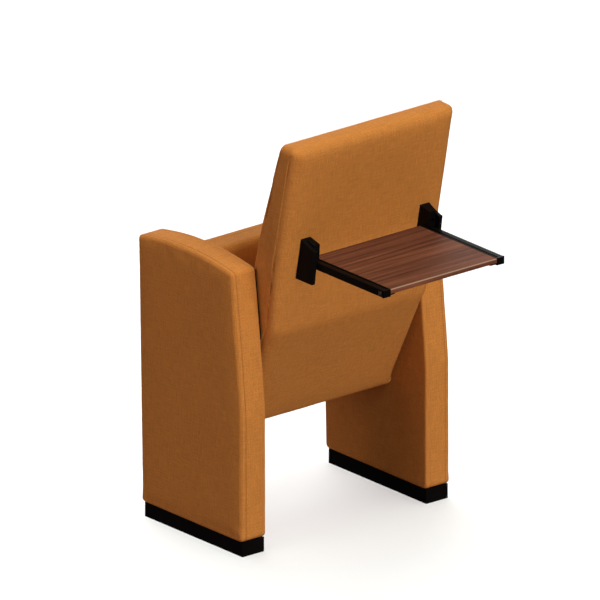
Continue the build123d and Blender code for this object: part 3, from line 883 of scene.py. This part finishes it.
class CHAIR_OT_side_panels(bpy.types.Operator):
    """Cover both side panels"""

    bl_idname = "chair.side_panels"
    bl_label = "Side panels"

    def execute(self, context):
        foot_z = PANEL_LOW[2]
        front_top = (PANEL_LOW[1] - PANEL_FRONT_PAD, PANEL_TOP_Z)
        foot_front = PANEL_FOOT_FRONT - PANEL_FRONT_PAD
        rear_y = PANEL_HIGH[1]
        crown = PANEL_HIGH[2] - PANEL_TOP_Z + 5
        t = np.linspace(0, 1, 80)
        top_y = PANEL_TOP_REAR + (front_top[0] - PANEL_TOP_REAR) * t
        top = np.column_stack([top_y, PANEL_TOP_Z + crown * 4 * t * (1 - t)])
        heights = np.linspace(PANEL_WAIST_Z, PANEL_TOP_Z, 110)
        upper = np.column_stack([panel_rear(heights), heights])
        sides = [
            polyline([(foot_front, foot_z), (rear_y, foot_z)]),
            np.vstack([polyline([(rear_y, foot_z), (rear_y, PANEL_WAIST_Z)])[:-1], upper]),
            top,
            polyline([front_top, (foot_front, foot_z)]),
        ]
        span = (INNER_X + 1, PANEL_HIGH[0])
        inset = PANEL_SEAM_IN / (span[1] - span[0] - 13) + 0.02
        seams_at = (inset, 1 - inset)
        rows = steps(8, seams_at, 0.024)
        slab = Slab(
            sides, radii=(12, 12, 7, 8), across=steps(52), up=steps(96), span=span,
            edges=((6, 6.5, 6.5, 6), (6, 7.5, 7.5, 7)), rows=rows,
        )
        cover = new_object("left_panel_cover", slab.mesh("left_panel_cover"))
        outward = normals_of(cover.data)[:, 0]
        bulge = np.select([outward > 0.5, outward >= -0.5], [SIDE_SWELL, EDGE_SWELL], 0.0)
        bulge[slab.co[:, 2] < foot_z + 14] *= 0.2
        swell(cover, bulge * MM, look().pressure)
        inner, outer = [slab.first_flat + rows.index(at) for at in seams_at]
        # The seams are pressed in for real, and their marks also paint shade into the cloth's colour: 0.3
        # on the inner seam, full on the outer one.
        press_in(cover, slab.row(inner), look().seam_depth * 0.5, 0.3)
        press_in(cover, slab.row(outer), look().seam_depth)
        ripple(cover, 0.35, 60)
        lines = [line_above(cover, slab.row(row), 0.35) for row in (inner + 1, outer - 1)]
        flip = np.array([-1, 1, 1])
        stitch_lines.setdefault("chair", []).extend(lines + [line * flip for line in lines])
        smoothed(cover)
        other = mirrored(cover, "right_panel_cover")
        for side, piece in (("left", cover), ("right", other)):
            paint(piece, fabric())
            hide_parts(f"{side}_outer_pad", f"{side}_inner_pad", f"{side}_edge_foam")
            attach(piece, "chair")
        return {"FINISHED"}


class CHAIR_OT_backrest_cover(bpy.types.Operator):
    """Cover the backrest"""

    bl_idname = "chair.backrest_cover"
    bl_label = "Backrest cover"

    def execute(self, context):
        low_z = CUSHION_LOW[2] - 1
        top_z = BACK_TOP + 8
        side_x = CUSHION_HIGH[0] - 1.8
        front = [(y - 2 * (z > 600), z) for y, z in BACK_FRONT]
        front[0] = (front[0][0] + 1, top_z)
        rear_low = (BEND[0] + (low_z - BEND[1]) * LOWER_LEAN, low_z)
        rear_top = (BEND[0] + (top_z - BEND[1]) * UPPER_LEAN, top_z)
        sides = [
            polyline([front[-1], rear_low]),
            rounded([rear_low, BEND, rear_top], 24),
            polyline([rear_top, front[0]]),
            rounded(front, 40),
        ]
        seam_at = 0.1
        across = steps(13, (seam_at,), 0.028)
        slab = Slab(
            sides, radii=(7, 7, 24, 8), across=across, up=steps(110), span=(-side_x, side_x),
            edges=[(6.5, 25, 17, 7)] * 2, rows=steps(62),
        )
        _, y, z = slab.co.T
        above_arms = eased(z, 665, 110)
        behind_panels = eased(y, 165, 30) * eased(z, 430, 80)
        slab.co[:, 0] *= 1 + np.maximum(WIDER_ABOVE * above_arms, WIDER_BEHIND * behind_panels)
        cover = new_object("backrest_cover", slab.mesh("backrest_cover"))
        normal = normals_of(cover.data)
        forward = eased(-normal[:, 1], 0.35, 0.4)
        rearward = eased(normal[:, 1], 0.35, 0.4)
        bulge = forward * eased(z, 450, 120) * BACK_FRONT_SWELL + rearward * BACK_REAR_SWELL + 0.5
        bulge[np.abs(normal[:, 0]) > 0.6] = 0.4
        swell(cover, bulge * MM, look().pressure)
        column = across.index(seam_at)
        # Pressed in for real, with painted shade of 0.45 along the crease.
        press_in(cover, slab.belt(column), look().seam_depth * 0.7, 0.45)
        ripple(cover, 0.4, 70)
        stitch_lines.setdefault("chair", []).append(line_above(cover, slab.belt(column - 1), 0.3))
        smoothed(cover)
        paint(cover, fabric())
        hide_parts("back_rear_pad", "back_cushion")
        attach(cover, "chair")
        return {"FINISHED"}


class CHAIR_OT_seat_cover(bpy.types.Operator):
    """Cover the tip-up seat"""

    bl_idname = "chair.seat_cover"
    bl_label = "Seat cover"

    def execute(self, context):
        low_u = -math.sqrt(SEAT_REAR_R**2 - SEAT_UNDER**2)
        high_u = -math.sqrt(SEAT_REAR_R**2 - SEAT_TOP**2)
        a0 = math.atan2(SEAT_TOP, high_u)
        a1 = math.atan2(SEAT_UNDER, low_u) + 2 * math.pi
        angles = np.linspace(a0, a1, 60)
        arc = SEAT_REAR_R * np.column_stack([np.cos(angles), np.sin(angles)])
        sides = [
            polyline([(low_u, SEAT_UNDER), (SEAT_FRONT, SEAT_UNDER)]),
            polyline([(SEAT_FRONT, SEAT_UNDER), (SEAT_FRONT, SEAT_TOP)]),
            polyline([(SEAT_FRONT, SEAT_TOP), (high_u, SEAT_TOP)]),
            arc,
        ]
        cos, sin = math.cos(TIP), math.sin(TIP)
        turn = np.array([[-cos, sin], [sin, cos]])
        seam_at = 0.34
        up = steps(15, (seam_at,), 0.022)
        slab = Slab(
            sides, radii=(8, 16, 18, 12), across=steps(60), up=up, span=(-SEAT_SIDE, SEAT_SIDE),
            edges=[(7, 13, 13, 8)] * 2, rows=steps(60), place=lambda p: PIVOT[1:] + p @ turn,
        )
        cover = new_object("seat_cover", slab.mesh("seat_cover"))
        upward = eased(normals_of(cover.data) @ np.array([0, sin, cos]), 0.3, 0.4)
        ahead = eased(slab.flat[:, 0], -40, 80)
        swell(cover, (upward * ahead * SEAT_SWELL + 0.1) * MM, look().pressure)
        level = up.index(seam_at)
        # Pressed in for real, with full painted shade along the crease.
        press_in(cover, slab.hoop(level), look().seam_depth)
        ripple(cover, 0.3, 70)
        stitch_lines.setdefault("seat", []).append(line_above(cover, slab.hoop(level + 1), 0.3))
        smoothed(cover)
        paint(cover, fabric())
        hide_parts("seat_cushion", "seat_underside")
        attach(cover, "seat")
        return {"FINISHED"}


class CHAIR_OT_gap_shadow_strips(bpy.types.Operator):
    """Add the black strips that paint the shade in the gaps between the backrest and the side panels"""

    bl_idname = "chair.gap_seals"
    bl_label = "Gap seals"

    def execute(self, context):
        # Painted shade: a black rubber body standing where the gap holds only shadow.
        material = rubber("black_gap_shadow", (0.004, 0.0035, 0.003))
        inner_x, outer_x = SHADOW_STRIP_X
        near_y, far_y = SHADOW_STRIP_Y
        corners = (outer_x, near_y), (inner_x, near_y), (inner_x, far_y), (outer_x, far_y)
        section = []
        for quarter, centre in enumerate(corners):
            for turn in np.radians(np.arange(4) * 30 + quarter * 90):
                away = (SHADOW_STRIP_ROUND * math.cos(turn), SHADOW_STRIP_ROUND * math.sin(turn))
                section.append(np.add(centre, away))
        for side, sign in (("left", 1), ("right", -1)):
            made = bmesh.new()
            rings = []
            for z in np.linspace(SHADOW_STRIP_FROM_Z, PANEL_TOP_Z - 6, 44):
                rear = panel_rear(z)
                rings.append([made.verts.new((sign * x * MM, (rear + y) * MM, z * MM)) for x, y in section])
            skin(made, rings)
            piece = kept(made, f"{side}_gap_seal", 50)
            paint(piece, material)
            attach(piece, "chair")
        return {"FINISHED"}


class CHAIR_OT_stitches(bpy.types.Operator):
    """Sew the stitch lines beside the seams"""

    bl_idname = "chair.stitches"
    bl_label = "Stitches"

    def execute(self, context):
        light = tuple(min(1, c * 1.1) for c in look().fabric_light)
        s = Shader("sewing_thread")
        twist = s.noise(s.place(), 1800, 2.0)
        thread = s.finish(
            Base_Color=s.mix(s.between(twist, 0.3, 0.7), light, tuple(look().fabric_dark)),
            Roughness=0.5 + twist * 0.2,
            Normal=s.bump(twist, 0.0001, 0.6),
        )
        sizes = ("spacing", "length", "thickness")
        values = {size.title(): getattr(look(), f"stitch_{size}") for size in sizes}
        tree = stitch_tree(thread)
        for body, lines in stitch_lines.items():
            piece = grown(f"{body}_stitches", line_object(f"{body}_stitch_lines", lines), tree, values)
            shade_smooth(piece.data)
            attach(piece, body)
        return {"FINISHED"}


class CHAIR_OT_tablet(bpy.types.Operator):
    """Finish the writing tablet, its arms and brackets"""

    bl_idname = "chair.tablet"
    bl_label = "Writing tablet"

    def execute(self, context):
        wood = veneer(
            "walnut_veneer", tuple(look().wood_light), tuple(look().wood_dark),
            tuple(look().wood_edge_highlight), BOARD_HIGH[1] * MM, BOARD_HIGH[2] * MM,
        )
        paint_nodes(["tablet_board"], wood)
        black = tuple(look().black)
        paint_nodes(pair("tablet_arm"), painted("black_anodised_arm", black, 0.5, 1400))
        paint_nodes(pair("tablet_bracket"), painted("black_powder_coat", black, 0.5, 1100))
        paint_nodes(pair("arm_cap"), painted("black_cap_plastic", black, 0.4, 700))
        return {"FINISHED"}


class CHAIR_OT_arm_plates(bpy.types.Operator):
    """Add the small plate and its screw at the end of each arm"""

    bl_idname = "chair.arm_plates"
    bl_label = "Arm end plates"

    def execute(self, context):
        steel = brushed("dark_steel_plate", (0.10, 0.095, 0.09), (60, 60, 900))
        out_x = ARM_HIGH[0]
        middle_z = (BOARD_LOW[2] + ARM_LOW[2]) / 2 + PLATE_ABOVE_MIDDLE
        for side, sign in (("left", 1), ("right", -1)):
            made = bmesh.new()
            bmesh.ops.create_cube(made, size=1)
            bmesh.ops.scale(made, verts=made.verts, vec=PLATE_SIZE)
            bmesh.ops.bevel(made, geom=made.edges[:], offset=0.3, segments=2, affect="EDGES", profile=0.5)
            bmesh.ops.translate(made, verts=made.verts, vec=(0.3, 0, 0))
            self._screw(made)
            place = Matrix.Translation(Vector((out_x, ARM_HIGH[1] - PLATE_FROM_END, middle_z)) * MM)
            bmesh.ops.transform(made, matrix=place @ Matrix.Scale(MM, 4), verts=made.verts)
            if sign < 0:
                bmesh.ops.scale(made, verts=made.verts, vec=(-1, 1, 1))
            piece = kept(made, f"{side}_arm_end_plate", 40)
            paint(piece, steel)
            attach(piece, "tablet")
        return {"FINISHED"}

    def _screw(self, made):
        """A domed head with a six-lobed recess, standing on the plate."""
        head = [(3.0, 0.2), (3.0, 0.9), (2.75, 1.25), (2.2, 1.55)]
        recess = [(1.55, 1.7), (1.35, 1.6), (1.25, 0.9)]
        rings = []
        for radius, rise in head + recess:
            lobes = 0.12 * ((radius, rise) in recess)
            ring = []
            for turn in np.arange(36) / 36 * math.tau:
                reach = radius * (1 + lobes * math.cos(6 * turn))
                ring.append(made.verts.new((rise, reach * math.cos(turn), reach * math.sin(turn))))
            rings.append(ring)
        skin(made, rings)


class CHAIR_OT_frame_finishes(bpy.types.Operator):
    """Finish the plinths, boards, steelwork and small parts"""

    bl_idname = "chair.frame_finishes"
    bl_label = "Frame finishes"

    def execute(self, context):
        black = tuple(look().black)
        paint_nodes(pair("plinth"), painted("black_plinth", black, 0.45, 500))
        paint_nodes(pair("foot"), painted("black_foot_paint", tuple(c * 2 for c in black), 0.5, 900))
        birch = plywood("birch_plywood", (0.62, 0.43, 0.24), (0.36, 0.22, 0.11))
        paint_nodes(pair("core_board") + ["back_board", "seat_pan"], birch)
        plate = brushed("zinc_plate", (0.62, 0.63, 0.64), (30, 900, 30))
        paint_nodes(pair("back_angle", "hinge_plate", "pivot_plate"), plate)
        turned = brushed("zinc_fastener", (0.58, 0.57, 0.55), (900, 60, 900))
        fasteners = pair("panel_bolts", "core_inserts", "hanger_bolts", "back_spacers", "stop_studs")
        fasteners += pair("hinge_pin", "return_spring")
        fasteners += ["angle_screws", "back_inserts", "bracket_bolts", "seat_screws", "tablet_screws"]
        paint_nodes(fasteners, turned)
        nylon = painted("white_nylon", (0.62, 0.6, 0.54), 0.4, 600)
        paint_nodes(pair("arm_bush", "hinge_bush", "friction_washer"), nylon)
        buffers = pair("stop_sleeves") + ["tablet_buffers"]
        paint_nodes(buffers, rubber("black_rubber", (0.018, 0.017, 0.016)))
        foam = painted("moulded_foam", (0.6, 0.5, 0.3), 0.85, 1500)
        covered = pair("outer_pad", "inner_pad", "edge_foam")
        covered += ["back_rear_pad", "back_cushion", "seat_cushion", "seat_underside"]
        paint_nodes(covered, foam)
        return {"FINISHED"}


class CHAIR_OT_studio(bpy.types.Operator):
    """Set the floor, lights and camera"""

    bl_idname = "chair.studio"
    bl_label = "Studio"

    def execute(self, context):
        data = bpy.data.meshes.new("studio_floor")
        corners = [(x * FLOOR_HALF, y * FLOOR_HALF, 0) for x, y in ((-1, -1), (1, -1), (1, 1), (-1, 1))]
        data.from_pydata(corners, [], [(0, 1, 2, 3)])
        floor = new_object("studio_floor", data)
        s = Shader("pale_floor")
        cloud = s.noise(s.place(), 3.0, 2.0)
        pale = s.mix(cloud, (0.93, 0.93, 0.93), (0.95, 0.95, 0.95))
        paint(floor, s.finish(Base_Color=pale, Roughness=0.9))
        floor.visible_diffuse = False
        floor.visible_glossy = False
        self._camera()
        lamps = {name: self._sun(name, *values) for name, values in LAMPS.items()}
        above_seat = pair("tablet_bracket", "tablet_arm", "arm_cap") + ["tablet_board"]
        fittings = [frame["nodes"][name] for name in above_seat]
        self._link(lamps["key"], "receiver_collection", [floor], "EXCLUDE")
        self._link(lamps["key"], "blocker_collection", fittings, "EXCLUDE")
        self._link(lamps["bounce"], "blocker_collection", [floor], "EXCLUDE")
        self._link(lamps["floor_wash"], "receiver_collection", [floor], "INCLUDE")
        lamps["floor_wash"].data.use_shadow = False
        self._world()
        view = bpy.context.scene.view_settings
        view.view_transform = "Standard"
        view.look = "None"
        return {"FINISHED"}

    def _camera(self):
        azimuth, elevation = math.radians(AZIMUTH), math.radians(ELEVATION)
        right = Vector((math.cos(azimuth), math.sin(azimuth), 0))
        level = Vector((math.sin(azimuth), -math.cos(azimuth), 0))
        back = level * math.cos(elevation) + Vector((0, 0, math.sin(elevation)))
        up = back.cross(right)
        middle = (right * AIM_RIGHT + up * AIM_UP) * MM
        data = bpy.data.cameras.new("camera")
        data.type = "ORTHO"
        data.ortho_scale = PICTURE_WIDTH
        data.clip_start = 0.1
        data.clip_end = 100
        camera = new_object("camera", data)
        turn = Matrix((right, up, back)).transposed().to_4x4()
        camera.matrix_world = Matrix.Translation(middle + back * CAMERA_DISTANCE) @ turn
        bpy.context.scene.camera = camera

    def _link(self, lamp, role, pieces, state):
        """Let this lamp light, or be blocked by, these pieces alone, or all but these."""
        group = bpy.data.collections.new(f"{lamp.name}_{role}")
        for piece in pieces:
            group.objects.link(piece)
        for entry in group.collection_objects:
            entry.light_linking.link_state = state
        setattr(lamp.light_linking, role, group)

    def _sun(self, name, towards, power, spread, colour):
        data = bpy.data.lights.new(name, "SUN")
        data.energy = power
        data.angle = math.radians(spread)
        data.color = colour
        lamp = new_object(name, data)
        lamp.location = Vector(towards) * 3
        lamp.rotation_euler = Vector(towards).to_track_quat("Z", "Y").to_euler()
        return lamp

    def _world(self):
        """A pale surround that throws less light than it shows."""
        world = bpy.data.worlds.new("studio")
        world.use_nodes = True
        tree = world.node_tree
        tree.nodes.clear()
        sockets = {"Strength": WORLD_CAST, "Color": (*WARM, 1)}
        glow = add_node(tree, "ShaderNodeBackground", None, sockets)
        sockets = {"Strength": WORLD_SEEN, "Color": (1, 1, 1, 1)}
        sight = add_node(tree, "ShaderNodeBackground", None, sockets)
        path = add_node(tree, "ShaderNodeLightPath")
        sockets = {0: path.outputs["Is Camera Ray"], 1: glow.outputs[0], 2: sight.outputs[0]}
        mixed = add_node(tree, "ShaderNodeMixShader", None, sockets)
        add_node(tree, "ShaderNodeOutputWorld", None, {0: mixed.outputs[0]})
        bpy.context.scene.world = world


class CHAIR_PT_sidebar(bpy.types.Panel):
    """Lists the chair's pieces and their sizes and colours"""

    bl_idname = "CHAIR_PT_sidebar"
    bl_label = "Lecture hall chair"
    bl_space_type = "VIEW_3D"
    bl_region_type = "UI"
    bl_category = "Chair"

    def draw(self, context):
        for name in ChairLook.__annotations__:
            self.layout.prop(context.scene.chair_look, name)
        for operator in OPERATORS:
            self.layout.operator(operator.bl_idname)


OPERATORS = (
    CHAIR_OT_side_panels,
    CHAIR_OT_backrest_cover,
    CHAIR_OT_seat_cover,
    CHAIR_OT_gap_shadow_strips,
    CHAIR_OT_stitches,
    CHAIR_OT_tablet,
    CHAIR_OT_arm_plates,
    CHAIR_OT_frame_finishes,
    CHAIR_OT_studio,
)


def register():
    for cls in (ChairLook, *OPERATORS, CHAIR_PT_sidebar):
        bpy.utils.register_class(cls)
    bpy.types.Scene.chair_look = bpy.props.PointerProperty(type=ChairLook)


def unregister():
    del bpy.types.Scene.chair_look
    for cls in (CHAIR_PT_sidebar, *reversed(OPERATORS), ChairLook):
        bpy.utils.unregister_class(cls)


def main():
    register()
    for operator in OPERATORS:
        group, action = operator.bl_idname.split(".")
        getattr(getattr(bpy.ops, group), action)()


if __name__ == "__main__":
    main()
